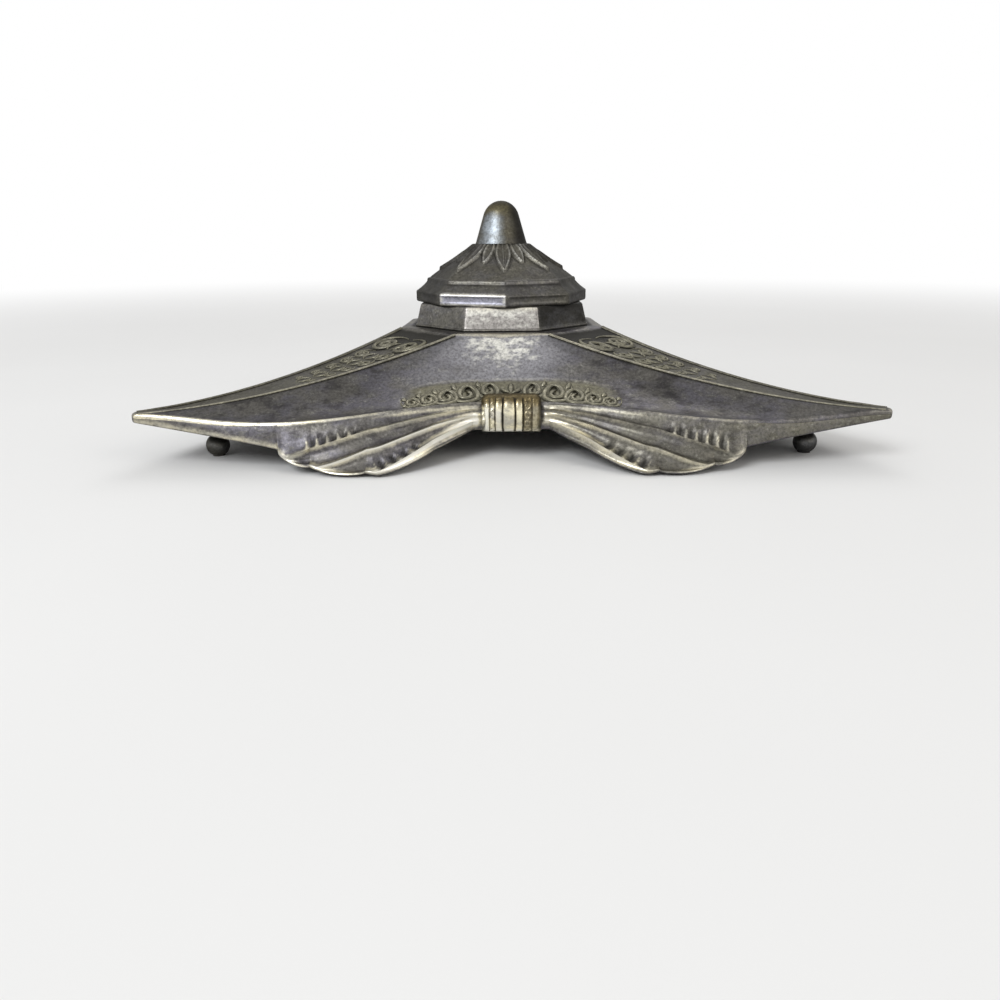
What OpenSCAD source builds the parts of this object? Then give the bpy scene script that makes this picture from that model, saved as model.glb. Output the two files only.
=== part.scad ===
// Three-armed desk inkstand: a hollow cast stand with an octagonal neck, a glass ink pot and a lift-off lid.
// The front side faces -Y. The origin lies on the table, in the middle of the three feet.

/* [Stand outline] */
// Distance from the middle of the stand to each arm tip
tip_reach = 94; // [80:0.5:110]
// Half the width of the blunt arm tip
tip_half_w = 1.2; // [0.8:0.1:2]
// Distance from the middle of the stand to the upper edge of a side, behind the clasp
edge_mid = 42.5; // [40:0.5:45]
// Outward bow of the upper edge halfway along the side
edge_bow = 2; // [0:0.25:4]
// Height of the upper edge behind the clasp
edge_mid_h = 12.7; // [12:0.1:13.5]
// Height of the upper edge at its lowest, near the end of the fan
edge_low_h = 10.1; // [9:0.1:11]
// Height of the upper edge at the arm tip
edge_tip_h = 11.7; // [11:0.1:12.5]
// Height of the arm's underside at the tip
tip_under_h = 9.7; // [9:0.1:10]
// Thickness of the cast wall
wall = 2.2; // [1.6:0.1:2.6]
// How strongly the top hollows between the collar and the edge
top_hollow = 1.8; // [1.5:0.05:2.2]

/* [Fans] */
// Distance from the clasp's middle line to the start of the fan's scalloped edge
fan_start = 17; // [15:0.5:19]
// Distance to the first notch between two lobes
fan_notch_a = 30.5; // [28:0.5:33]
// Distance to the second notch between two lobes
fan_notch_b = 42.5; // [40:0.5:44]
// Distance to the outer end of the fan
fan_end = 49.5; // [48:0.5:52]
// Distance from the middle of the stand to the foot of the fan
fan_foot = 57; // [54:0.5:60]
// Height of the notches above the table
fan_lift = 0.9; // [0.6:0.1:1.2]
// Drop of each lobe below its notches
lobe_drop = 0.45; // [0.2:0.05:0.5]
// Depth of the flutes between the fan's ridges
flute_depth = 0.8; // [0.3:0.1:1.2]
// Height of the arch under the clasp
arch_h = 6.4; // [5:0.1:7.5]

/* [Clasps] */
// Width of a clasp
clasp_w = 13.2; // [11:0.2:15]
// Height of the clasp's lower end above the table
clasp_low = 6.2; // [5.5:0.1:6.4]
// Height of the clasp's top above the table
clasp_top = 14.5; // [14:0.1:16]
// How far the clasp stands out from the side
clasp_bulge = 3.6; // [2.5:0.1:5]
// How far the clasp's lip reaches back over the upper edge
clasp_lip = 2.1; // [1:0.1:3]

/* [Neck] */
// Sideways offset of the neck from the middle of the stand
neck_x = -2; // [-3:0.25:3]
// Distance across the flats of the collar that carries the neck
collar_af = 50; // [48:0.5:54]
// Height of the collar above the table
collar_h = 25.4; // [24:0.1:27]
// Distance across the flats of the neck at its foot
neck_af = 43.6; // [42:0.2:45]
// Distance across the flats of the neck at its top
neck_top_af = 41; // [40:0.2:42]
// Height of the neck above the collar
neck_h = 5.6; // [5:0.1:8]
// Diameter of the neck's upper bore, which the lid's ring enters
neck_bore_d = 35; // [33:0.2:36]
// Diameter of the neck's lower bore, which the ink pot hangs in
pot_bore_d = 31.2; // [28:0.2:32]
// Height of the ledge that the ink pot's flange rests on, above the collar
ledge_h = 1.4; // [1:0.1:2]
// Length of the neck's spigot below the collar
spigot_len = 3.4; // [2.5:0.1:4]

/* [Ink pot] */
// Clearance round the ink pot in its bores
pot_gap = 0.3; // [0.2:0.05:0.5]
// Thickness of the ink pot's flange
flange_t = 1.4; // [1:0.1:1.6]
// Thickness of the glass wall
glass_t = 1.8; // [1.2:0.1:2.5]
// Thickness of the glass bottom
glass_base_t = 2.4; // [1.6:0.1:3]
// Height of the ink pot's bottom above the table
pot_lift = 5; // [4.5:0.1:8]

/* [Lid] */
// Distance across the flats of the lid's rim
lid_af = 41.4; // [41:0.2:44]
// Height of the upright rim
rim_h = 2.8; // [2:0.1:4]
// Distance across the flats at the top of the sloped bevel
bevel_af = 34.6; // [32:0.2:36]
// Height of the sloped bevel
bevel_h = 3.2; // [1.5:0.1:4]
// Height of the roof between the bevel and the knob
roof_h = 8.1; // [7:0.1:11]
// How strongly the roof hollows towards the knob, straight at 1 and swollen below it
roof_hollow = 0.95; // [0.9:0.05:1.5]
// Thickness of the roof
roof_t = 2; // [1.5:0.1:2.6]
// Angle that the lid lies turned on the neck, seen from above
lid_turn = -20; // [-22:1:22]
// Length of the ring below the lid's rim
ring_len = 1.8; // [1.2:0.1:2]
// Thickness of the ring
ring_t = 1.6; // [1.2:0.1:2]
// Radial clearance of the ring in the neck
ring_gap = 0.3; // [0.2:0.05:0.5]
// Depth of the recess in the lid that takes the ring
ring_seat = 1.8; // [1:0.1:2.2]
// Radial running clearance between the ring and its recess
ring_fit = 0.06; // [0.03:0.01:0.1]

/* [Knob] */
// Radius of the knob at its foot
knob_foot_r = 6.6; // [5.6:0.1:7.4]
// Radius of the knob's rounded head
knob_head_r = 4.6; // [3.6:0.1:5]
// Height of the knob
knob_h = 10.4; // [8:0.1:13]
// Radius of the knob's stud
stud_r = 2; // [1.5:0.1:2.5]
// Radial clearance of the stud in the lid
stud_gap = 0.05; // [0.02:0.01:0.1]
// Radius of the riveted end of the stud
rivet_r = 3; // [2.7:0.1:3.5]
// Thickness of the riveted end
rivet_t = 0.8; // [0.6:0.1:1.2]

/* [Feet] */
// Distance from the middle of the stand to each foot
foot_ring_r = 77.5; // [74:0.5:80]
// Radius of the foot's ball
foot_r = 2.6; // [2.2:0.1:3]
// Radius of the small flat that the foot stands on
foot_flat_r = 1; // [0.6:0.1:1.2]
// Radius of the foot's stem
foot_stem_r = 1.4; // [1:0.1:1.8]
// Gap between the stem's end and the underside of the arm
foot_gap = 0.3; // [0.2:0.05:0.5]

/* [Hidden] */

sides = 3;
side_angle = 360 / sides;
tip_x = tip_reach * cos(30) - tip_half_w / 2;
tip_depth = tip_reach * sin(30) + tip_half_w * cos(30);
edge_settle = 0.55;
edge_dip = 0.65;

arch_half_w = clasp_w / 2 + 1.9;
fan_root = clasp_w / 2 + 0.4;
fan_low_x = 28;
fan_low_depth = 50.5;
fan_low_rise = 2.5;
lobe_reach = 0.7;
arm_low_h = 4.3;
arm_low_out = 1.6;

neck_top_h = collar_h + neck_h;
ledge_z = collar_h + ledge_h;
flange_top = ledge_z + flange_t;
rim_top = neck_top_h + rim_h;
bevel_top = rim_top + bevel_h;
roof_top = bevel_top + roof_h;
ring_r = neck_bore_d / 2 - ring_gap;
ring_seat_z = neck_top_h + ring_seat;
roof_under = roof_top - roof_t;
round_fn = 96;

// Smooth step from 0 to 1
function ease(t) = let (c = min(max(t, 0), 1)) c * c * (3 - 2 * c);
// Straight blend of two values or points
function mix(a, b, t) = a + (b - a) * t;
// Point at depth d in front of the middle, in the frame of one side, turned to its place
function place(k, x, d, z) = let (a = side_angle * k)
    [x * cos(a) + d * sin(a), x * sin(a) - d * cos(a), z];
function turned(p, a) = [p[0] * cos(a) - p[1] * sin(a), p[0] * sin(a) + p[1] * cos(a), p[2]];

// Share of the way from the clasp to the tip
function along(x) = max(abs(x) - fan_root, 0) / (tip_x - fan_root);
// Upper edge of a side: depth and height at a distance x from the clasp's middle line
function edge_depth(x) = let (t = along(x))
    mix(edge_mid, tip_depth, ease(t / edge_settle)) + edge_bow * sin(180 * t);
function edge_height(x) = let (t = along(x)) t < edge_dip
    ? mix(edge_mid_h, edge_low_h, ease(t / edge_dip))
    : mix(edge_low_h, edge_tip_h, ease((t - edge_dip) / (1 - edge_dip)));

// Swell of a lobe, nothing at its notches and 1 in its middle
lobe_ends = [fan_start, fan_notch_a, fan_notch_b, fan_end];
function swell(a, i = 0) = i > 2 ? 0
    : a > lobe_ends[i] && a < lobe_ends[i + 1]
    ? pow(sin(180 * (a - lobe_ends[i]) / (lobe_ends[i + 1] - lobe_ends[i])), 0.7)
    : swell(a, i + 1);
// Lower edge of a side: the arch, the scalloped fan, then the rising underside of the arm
function low_depth(x) = let (a = abs(x), s = (a - arch_half_w) / (fan_low_x - arch_half_w))
    a <= arch_half_w ? edge_mid
    : a <= fan_low_x ? mix(edge_mid, fan_foot, s) + lobe_reach * swell(a)
    : a <= fan_end ? mix(fan_foot, fan_low_depth, pow((a - fan_low_x) / (fan_end - fan_low_x), 2.2))
        + lobe_reach * swell(a)
    : edge_depth(a) + arm_low_out * (tip_x - a) / (tip_x - fan_end);
function low_height(x) = let (a = abs(x), s = (a - arch_half_w) / (fan_low_x - arch_half_w))
    a <= arch_half_w ? arch_h
    : a <= fan_low_x ? mix(arch_h, fan_lift, 1 - pow(1 - s, 1.2)) - lobe_drop * swell(a)
    : a <= fan_end ? fan_lift + fan_low_rise * pow((a - fan_low_x) / (fan_end - fan_low_x), 3)
        - lobe_drop * swell(a)
    : mix(arm_low_h, tip_under_h, pow((a - fan_end) / (tip_x - fan_end), 0.85));

// Ridges that spread from the clasp to the outer ends of the lobes, as shares of the side's height
ridge_ends = [fan_end, fan_notch_b, fan_notch_a];
ridge_roots = [0.22, 0.44, 0.65];
ridge_bends = [4, 2.8, 1.2];
function ridge_at(x, i) = mix(ridge_roots[i], 1,
    pow(min(max(abs(x) - fan_root, 0) / (ridge_ends[i] - fan_root), 1), ridge_bends[i]));
// Rows down a side follow the ridges in the fan, with one in the hollow between each two,
// and are evenly spaced in the arm
side_rows = 7;
row_gap = 0.025;
function ridge_row(x, i) = i < 0 ? 0 : i > 2 ? 1 : min(ridge_at(x, i), 1 - row_gap * (5 - 2 * i));
function fan_row(x, j) = j % 2 == 0 ? ridge_row(x, j / 2 - 1)
    : j == side_rows ? 1
    : (ridge_row(x, (j - 1) / 2 - 1) + ridge_row(x, (j - 1) / 2)) / 2;
function side_row(x, j) = mix(fan_row(x, j), j / side_rows, ease((abs(x) - fan_end) / 4));
// Depth of the hollow in a row: the panel under the upper edge is hollowed by half
function flute(x, j) = j % 2 == 0 || j == side_rows ? 0
    : -flute_depth * (j == 1 ? 0.5 : 1) * ease((abs(x) - fan_root) / 8)
        * ease((fan_end - abs(x)) / 3) * (j > 1 && abs(x) > ridge_ends[(j - 1) / 2] ? 0 : 1);

// Corners of the collar seen from the neck's axis: the front side takes one face, the others two
front_corner = 22.5;
strip_angle = 45;
rear_span = 90;
function collar_angle(k, v) = k == 0 ? front_corner * v
    : k == 1 ? front_corner + strip_angle + rear_span * (v + 1) / 2
    : -front_corner - strip_angle - rear_span * (1 - v) / 2;
// Point of an octagon with an apothem, at an angle from the front counted towards +X
function octagon_point(apothem, a, z) =
    let (face = 45 * round(a / 45), off = tan(a - face) * apothem)
    [neck_x + apothem * sin(face) + off * cos(face), -apothem * cos(face) + off * sin(face), z];

// One section of the wall, from the collar over the top, down the side and back along the inside
top_rows = 7;
ceiling_rows = 4;
hole_af = neck_af - 5.2;
tip_solid = 3 * wall;
inner_share = (tip_reach - tip_solid) / tip_reach;
ceiling_start_af = collar_af - 1.6 * wall;
collar_under = collar_h - spigot_len + 0.4;
function top_line(c, e, u) = let (p = mix(c, e, u)) [p[0], p[1], mix(e[2], c[2], pow(1 - u, top_hollow))];
function section(k, x) = let (
    v = x / tip_x, x_in = x * inner_share, a = collar_angle(k, v),
    collar = octagon_point(collar_af / 2, a, collar_h),
    edge = place(k, x, edge_depth(x), edge_height(x)),
    lean = atan2(low_depth(x) - edge_depth(x), edge_height(x) - low_height(x)),
    room = low_height(x) + 0.6,
    edge_in = place(k, x_in, edge_depth(x) - 1.1 * wall * (abs(v) > 0.9 ? mix(1, 2, (abs(v) - 0.9) * 10) : 1),
        max(edge_height(x) - wall, room)),
    start_in = octagon_point(ceiling_start_af / 2, a, collar_under))
    concat(
        [for (i = [0:top_rows]) top_line(collar, edge, pow(i / top_rows, 1.2))],
        [for (j = [1:side_rows]) let (w = side_row(x, j), out = flute(x, j))
            place(k, x, mix(edge_depth(x), low_depth(x), w) + out * cos(lean),
                mix(edge_height(x), low_height(x), w) + out * sin(lean))],
        [place(k, x_in, low_depth(x) - 1.1 * wall, low_height(x) + 0.25)],
        [for (i = [0:ceiling_rows]) top_line(start_in, edge_in, pow(1 - i / ceiling_rows, 1.2))],
        [octagon_point(hole_af / 2, a, collar_under), octagon_point(hole_af / 2, a, collar_h)]);

// Places along half a side where a section is taken, closer together round the notches
function steps(a, b, n) = [for (i = [1:n]) mix(a, b, i / n)];
half_side = concat([0, clasp_w / 4], [fan_root], [arch_half_w],
    steps(arch_half_w, fan_start, 3), steps(fan_start, fan_notch_a - 0.6, 4),
    [fan_notch_a, fan_notch_a + 0.6], steps(fan_notch_a + 0.6, fan_notch_b - 0.5, 3),
    [fan_notch_b, fan_notch_b + 0.5], steps(fan_notch_b + 0.5, fan_end - 0.2, 3),
    steps(fan_end, tip_x, 7));
full_side = concat([for (i = [len(half_side) - 1:-1:1]) -half_side[i]], half_side);

// Hollow cast stand with three arms, scalloped fans and a collar
module body_shell() {
    rings = [for (k = [0:sides - 1], x = full_side) section(k, x)];
    n = len(rings);
    m = len(rings[0]);
    points = [for (ring = rings, p = ring) p];
    faces = [for (i = [0:n - 1], j = [0:m - 1]) let (
        a = i * m + j, b = ((i + 1) % n) * m + j,
        c = ((i + 1) % n) * m + (j + 1) % m, d = i * m + (j + 1) % m)
        each [[a, b, c], [a, c, d]]];
    color("#5b554c") polyhedron(points, faces);
}

// Octagonal solid on the Z axis from pairs of a width across the flats and a height, rising
module octagon_solid(pairs) {
    half = [for (p = pairs) [p[0] / 2, p[1]]];
    other = [for (i = [len(pairs) - 1:-1:0]) [-pairs[i][0] / 2, pairs[i][1]]];
    intersection_for (i = [0:3]) rotate(45 * i) rotate([90, 0, 0])
        linear_extrude(2 * pairs[0][0], center = true) polygon(concat(half, other));
}

// Octagonal neck with a stepped round bore, its spigot soldered into the collar
module neck_ring() {
    spigot_gap = 0.1;
    chamfer = 0.5;
    color("#8d8878") translate([neck_x, 0, 0]) difference() {
        union() {
            octagon_solid([[neck_af, collar_h], [neck_top_af, neck_top_h - chamfer],
                [neck_top_af - 2 * chamfer, neck_top_h]]);
            octagon_solid([[hole_af - 2 * spigot_gap, collar_h - spigot_len],
                [hole_af - 2 * spigot_gap, collar_h + ledge_h / 2]]);
        }
        translate([0, 0, ledge_z]) cylinder(h = neck_h, d = neck_bore_d, $fn = round_fn);
        translate([0, 0, collar_h - spigot_len - 1])
            cylinder(h = neck_h + spigot_len, d = pot_bore_d, $fn = round_fn);
    }
}

// Cast clasp that grips the middle of a side, drawn for the front side
module clasp() {
    grip = 0.05;
    middle = (clasp_low + clasp_top) / 2;
    half_h = (clasp_top - clasp_low) / 2;
    lip_under = edge_mid_h + 0.4;
    rib_w = clasp_w / 9;
    arc = 12;
    function outline(bulge) = concat(
        [for (i = [0:arc]) let (a = -90 + 180 * i / arc)
            [edge_mid + grip + bulge * pow(cos(a), 0.7), middle + half_h * sin(a)]],
        [[edge_mid - clasp_lip + 0.6, clasp_top], [edge_mid - clasp_lip, clasp_top - 0.6],
            [edge_mid - clasp_lip, lip_under], [edge_mid + grip, lip_under]]);
    module band(from, to, bulge)
        translate([from, 0, 0]) rotate([90, 0, 90]) mirror([1, 0]) linear_extrude(to - from)
            polygon(outline(bulge));
    color("#a08a58") {
        band(-clasp_w / 2, clasp_w / 2, clasp_bulge - 0.6);
        for (i = [-1:1]) band((i * 1.5 - 0.6) * rib_w, (i * 1.5 + 0.6) * rib_w, clasp_bulge);
        for (side = [-1, 1]) band(side * 3.7 * rib_w - rib_w / 2, side * 3.7 * rib_w + rib_w / 2, clasp_bulge - 0.2);
    }
}
module clasp_front() clasp();
module clasp_rear_right() rotate(side_angle) clasp();
module clasp_rear_left() rotate(-side_angle) clasp();

// Ball foot on a stem under an arm, drawn along -Y
module foot() {
    ball_z = sqrt(foot_r * foot_r - foot_flat_r * foot_flat_r);
    arm_share = (foot_ring_r - collar_af / 2) / (tip_reach - collar_af / 2);
    arm_top = mix(edge_tip_h, collar_h, pow(1 - arm_share, top_hollow));
    arm_under = mix(edge_tip_h - wall, collar_under, pow(1 - arm_share, top_hollow));
    color("#4a463e") translate([0, -foot_ring_r, 0]) rotate_extrude($fn = 48) union() {
        intersection() {
            translate([0, ball_z]) circle(foot_r, $fn = 48);
            square([foot_r, ball_z + foot_r]);
        }
        square([foot_stem_r, arm_under - foot_gap]);
    }
}
module foot_right() rotate(60) foot();
module foot_rear() rotate(180) foot();
module foot_left() rotate(-60) foot();

// Glass ink pot, hung by its flange on the ledge in the neck
module ink_pot() {
    pot_r = pot_bore_d / 2 - pot_gap;
    flange_r = neck_bore_d / 2 - pot_gap;
    soft = 1.2;
    color("#b9c4c0", 0.5) translate([neck_x, 0, 0]) rotate_extrude($fn = round_fn) difference() {
        union() {
            translate([0, pot_lift + soft]) square([pot_r, flange_top - pot_lift - soft]);
            translate([0, pot_lift]) square([pot_r - soft, soft + 0.01]);
            translate([pot_r - soft, pot_lift + soft]) circle(soft, $fn = 32);
            translate([0, ledge_z]) square([flange_r, flange_t]);
        }
        translate([0, pot_lift + glass_base_t]) square([pot_r - glass_t, flange_top]);
    }
}

// Turned ring under the lid, which keeps the lid in the middle of the neck
module lid_ring()
    color("#8f8355") translate([neck_x, 0, neck_top_h - ring_len]) rotate_extrude($fn = round_fn)
        translate([ring_r - ring_t, 0]) square([ring_t, ring_len + ring_seat]);

// Hollow octagonal lid with a sloped bevel and a roof that rises to the knob
module lid_casting() {
    function roof_r(t) = mix(bevel_af / 2, knob_foot_r, pow(t, 1 / roof_hollow));
    steps = 14;
    roof = [for (i = [0:steps]) [roof_r(i / steps), bevel_top + roof_h * i / steps]];
    room_r = ring_r - ring_t - 0.2;
    color("#5e584d") translate([neck_x, 0, 0]) rotate(lid_turn) difference() {
        union() {
            octagon_solid([[lid_af, neck_top_h], [lid_af, rim_top], [bevel_af, bevel_top]]);
            rotate_extrude($fn = round_fn)
                polygon(concat([[0, rim_top]], [[bevel_af / 2 - 0.01, rim_top]], roof, [[0, roof_top]]));
        }
        translate([0, 0, neck_top_h - 1])
            cylinder(h = ring_seat + 1, r = ring_r + ring_fit, $fn = round_fn);
        rotate_extrude($fn = round_fn) polygon(concat(
            [[0, neck_top_h], [room_r, neck_top_h], [room_r, bevel_top - 1.5]],
            [for (i = [1:steps]) [min(room_r, roof_r(i / steps)) * mix(0.9, 0.6, i / steps),
                mix(bevel_top - 1, roof_under, i / steps)]],
            [[0, roof_under]]));
        cylinder(h = roof_top + 1, r = stud_r + stud_gap, $fn = round_fn);
    }
}

// Bullet-shaped knob with a stud through the lid, riveted over inside
module lid_knob() {
    head_z = roof_top + knob_h - knob_head_r;
    steps = 16;
    color("#6b6455") translate([neck_x, 0, 0]) rotate_extrude($fn = 64) union() {
        polygon(concat([[0, roof_top], [knob_foot_r, roof_top]],
            [for (i = [1:steps]) let (t = i / steps)
                [mix(knob_foot_r, knob_head_r, 1 - pow(1 - t, 1.1)), mix(roof_top, head_z, t)]],
            [[0, head_z]]));
        intersection() {
            translate([0, head_z]) circle(knob_head_r, $fn = 64);
            translate([0, head_z - 0.5]) square(2 * knob_head_r);
        }
        translate([0, roof_under - rivet_t]) square([stud_r, roof_t + rivet_t + 0.5]);
        translate([0, roof_under - rivet_t]) square([rivet_r, rivet_t]);
    }
}

body_shell();
neck_ring();
clasp_front();
clasp_rear_right();
clasp_rear_left();
foot_right();
foot_rear();
foot_left();
ink_pot();
lid_ring();
lid_casting();
lid_knob();
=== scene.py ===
import math

import bpy
import numpy as np
from mathutils import Matrix, Vector


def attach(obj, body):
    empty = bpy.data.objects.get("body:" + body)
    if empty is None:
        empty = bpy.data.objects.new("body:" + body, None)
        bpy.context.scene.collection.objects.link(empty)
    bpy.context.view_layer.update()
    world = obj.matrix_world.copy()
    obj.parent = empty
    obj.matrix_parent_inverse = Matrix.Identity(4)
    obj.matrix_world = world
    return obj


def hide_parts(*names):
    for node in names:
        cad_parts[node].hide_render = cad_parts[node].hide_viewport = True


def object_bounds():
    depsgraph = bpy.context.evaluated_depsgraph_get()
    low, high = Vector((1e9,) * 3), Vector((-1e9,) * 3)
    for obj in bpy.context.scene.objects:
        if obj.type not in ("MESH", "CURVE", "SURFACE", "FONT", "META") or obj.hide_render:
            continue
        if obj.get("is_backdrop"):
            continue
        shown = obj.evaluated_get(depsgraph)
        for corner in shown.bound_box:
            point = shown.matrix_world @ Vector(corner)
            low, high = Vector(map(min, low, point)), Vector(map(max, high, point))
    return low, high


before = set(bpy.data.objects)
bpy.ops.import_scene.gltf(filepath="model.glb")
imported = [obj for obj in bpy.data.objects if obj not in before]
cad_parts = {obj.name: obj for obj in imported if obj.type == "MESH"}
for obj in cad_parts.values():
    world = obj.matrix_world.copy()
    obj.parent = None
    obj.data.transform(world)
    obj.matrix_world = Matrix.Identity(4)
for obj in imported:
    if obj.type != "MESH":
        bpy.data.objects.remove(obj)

cad_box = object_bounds()

# Camera, table and studio light
# A wide phone lens stands 205 mm in front of the stand and looks down by about 20 degrees,
# at an object on a pale table with a large soft lamp on the left and a weaker one on the right.
camera_place, film_w, focal_share = (-0.00213, -0.20534, 0.04741), 36, 0.752
pitch, yaw, roll = math.radians(19.45), math.radians(-0.17), math.radians(-0.37)
ahead = Vector((math.sin(yaw) * math.cos(pitch), math.cos(yaw) * math.cos(pitch), -math.sin(pitch)))
level = Vector((math.cos(yaw), -math.sin(yaw), 0))
above = level.cross(ahead)
across = math.cos(roll) * level + math.sin(roll) * above
upright = math.cos(roll) * above - math.sin(roll) * level
camera = bpy.data.objects.new("photo_view", bpy.data.cameras.new("photo_view"))
camera.data.sensor_width = film_w
camera.data.lens = focal_share * film_w
camera.data.clip_start = 0.01
camera.location = camera_place
camera.rotation_euler = Matrix((across, upright, -ahead)).transposed().to_euler()
bpy.context.collection.objects.link(camera)
bpy.context.scene.camera = camera
bpy.context.scene.view_settings.view_transform = "Standard"


class Wire:
    """A value that flows between the nodes of one finish: +, - and * on wires and numbers add Math
    nodes, and add() places any other node from its type, its settings and its sockets' values."""

    def __init__(self, tree, socket=None):
        self.tree, self.socket = tree, socket

    def add(self, kind, settings=None, sockets=None, out=0):
        """Place a node, link or fill its sockets, and give the wire from its output called out."""
        node = self.tree.nodes.new(kind)
        for name, value in (settings or {}).items():
            setattr(node, name, value)
        for name, value in (sockets or {}).items():
            if isinstance(value, Wire):
                self.tree.links.new(value.socket, node.inputs[name])
            else:
                node.inputs[name].default_value = value
        return Wire(self.tree, node.outputs[out] if len(node.outputs) else None)

    def maths(self, operation, *values):
        """One Math node on wires and numbers."""
        return self.add("ShaderNodeMath", {"operation": operation}, dict(enumerate(values)))

    def __add__(self, other):
        return self.maths("ADD", self, other)

    def __radd__(self, other):
        return self.maths("ADD", other, self)

    def __sub__(self, other):
        return self.maths("SUBTRACT", self, other)

    def __rsub__(self, other):
        return self.maths("SUBTRACT", other, self)

    def __mul__(self, other):
        return self.maths("MULTIPLY", self, other)

    def __rmul__(self, other):
        return self.maths("MULTIPLY", other, self)

    def step(self, low, high):
        """0 below low, 1 above high, and a smooth rise between them."""
        return self.add("ShaderNodeMapRange", {"interpolation_type": "SMOOTHSTEP"},
                        {"Value": self, "From Min": low, "From Max": high})

    def place(self):
        """Place on the piece's own coordinates, in metres."""
        return self.add("ShaderNodeTexCoord", out="Object")

    def clouds(self, scale, detail=3.0, rough=0.55, place=None):
        """Noise on the piece's own coordinates, with that many patches to the metre."""
        where = place or self.place()
        return self.add("ShaderNodeTexNoise", None,
                        {"Vector": where, "Scale": scale, "Detail": detail, "Roughness": rough})

    def tint(self, amount, first, second):
        """The first colour where amount is 0, the second where it is 1. A Mix node takes its colours
        at sockets 6 and 7 and gives the mixed one at output 2."""
        sides = {0: amount}
        for socket, colour in ((6, first), (7, second)):
            sides[socket] = colour if isinstance(colour, Wire) else (*colour, 1)
        return self.add("ShaderNodeMix", {"data_type": "RGBA"}, sides, out=2)

    def bump(self, strength, distance, height):
        """Small heights, distance metres high, that tilt the surface's normal."""
        return self.add("ShaderNodeBump", None,
                        {"Strength": strength, "Distance": distance, "Height": height})

    def surface(self, sockets):
        """A Principled surface with these values, shown by the material."""
        self.add("ShaderNodeOutputMaterial", None,
                 {"Surface": self.add("ShaderNodeBsdfPrincipled", None, sockets)})


def new_finish(name):
    """An empty material and a loose wire in its tree."""
    finish = bpy.data.materials.new(name)
    finish.use_nodes = True
    finish.node_tree.nodes.clear()
    return finish, Wire(finish.node_tree)


def looked_at(wire):
    """1 for a ray from the camera, or one that metal or glass sends on, and otherwise 0."""
    ray = wire.add("ShaderNodeLightPath", out="Is Camera Ray")
    for kind in ("Is Glossy Ray", "Is Transmission Ray"):
        ray = wire.maths("MAXIMUM", ray, wire.add("ShaderNodeLightPath", out=kind))
    return ray


white, table_half, fade_start, fade_end = (1, 1, 1, 1), 3, 0.22, 0.75
table_finish, wire = new_finish("table_top")
from_middle = wire.add("ShaderNodeVectorMath", {"operation": "LENGTH"}, {0: wire.place()}, out="Value")
matt = wire.add("ShaderNodeBsdfPrincipled", None, {
    "Base Color": wire.tint(wire.clouds(9, 2), (0.8, 0.795, 0.785), (0.84, 0.835, 0.825)),
    "Roughness": 0.75, "Specular IOR Level": 0.2})
seen = looked_at(wire)
lit = wire.add("ShaderNodeMixShader", None, {
    0: from_middle.step(fade_start, fade_end) * seen, 1: matt,
    2: wire.add("ShaderNodeEmission", None, {"Color": white, "Strength": 1.0})})
wire.add("ShaderNodeOutputMaterial", None, {"Surface": lit})
corners = [(x * table_half, y * table_half, 0) for x, y in ((-1, -1), (1, -1), (1, 1), (-1, 1))]
table_mesh = bpy.data.meshes.new("table_top")
table_mesh.from_pydata(corners, [], [(0, 1, 2, 3)])
table_mesh.materials.append(table_finish)
table = bpy.data.objects.new("table_top", table_mesh)
bpy.context.collection.objects.link(table)
table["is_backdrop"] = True

room = bpy.data.worlds.new("studio")
room.use_nodes = True
room.node_tree.nodes.clear()
wire = Wire(room.node_tree)
room_light = 0.5
seen = looked_at(wire)
wire.add("ShaderNodeOutputWorld", None, {"Surface": wire.add("ShaderNodeBackground", None, {
    "Color": white, "Strength": room_light + (1 - room_light) * seen})})
bpy.context.scene.world = room
lamp_aim = Vector((0, 0, 0.02))
for name, place, size, watts, colour in (
        ("window_lamp", (-0.45, -0.62, 0.62), 0.45, 5.2, (0.96, 0.98, 1.0)),
        ("right_lamp", (0.65, -0.45, 0.45), 0.4, 1.3, (1.0, 0.97, 0.92)),
        ("back_lamp", (0.1, 0.7, 0.7), 0.5, 1.6, (1.0, 1.0, 1.0))):
    lamp = bpy.data.objects.new(name, bpy.data.lights.new(name, "AREA"))
    lamp.data.size, lamp.data.energy, lamp.data.color = size, watts, colour
    lamp.location = place
    lamp.rotation_euler = (lamp_aim - Vector(place)).to_track_quat("-Z", "Y").to_euler()
    bpy.context.collection.objects.link(lamp)

# Stand casting
# One hollow bronze casting with three arms, an octagonal collar and scalloped fans on its sides.
# It is cast in one piece, patinated dark, and rubbed bright along its edges. Lengths are in mm.
tip_reach, tip_half_w, neck_x, mm = 94.0, 1.2, -2.0, 0.001
edge_mid, edge_bow, edge_mid_h, edge_low_h, edge_tip_h, tip_under_h = 42.5, 2.0, 12.7, 10.1, 11.7, 9.7
edge_settle, edge_low_at = 0.55, 0.65
wall, top_hollow, collar_half, collar_h, collar_under, bore_r = 2.2, 1.8, 25.0, 25.4, 22.4, 19.2
fan_marks = (17.0, 30.5, 42.5, 49.5)
fan_end = fan_marks[3]
fan_foot, fan_lift, fan_rise, lobe_drop, lobe_out = 57.0, 0.9, 2.5, 0.45, 0.7
arch_h, arch_half_w, fan_root, fan_low_x, fan_low_depth = 6.4, 8.5, 7.0, 28.0, 51.9
arm_root_h, arm_under_out, strip_depth, strip_len = 4.3, 1.2, 0.45, 69.0
tip_x = tip_reach * math.cos(math.radians(30)) - tip_half_w / 2
tip_depth = tip_reach / 2 + tip_half_w * math.cos(math.radians(30))
inner_share = (tip_reach - 3 * wall) / tip_reach
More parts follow.
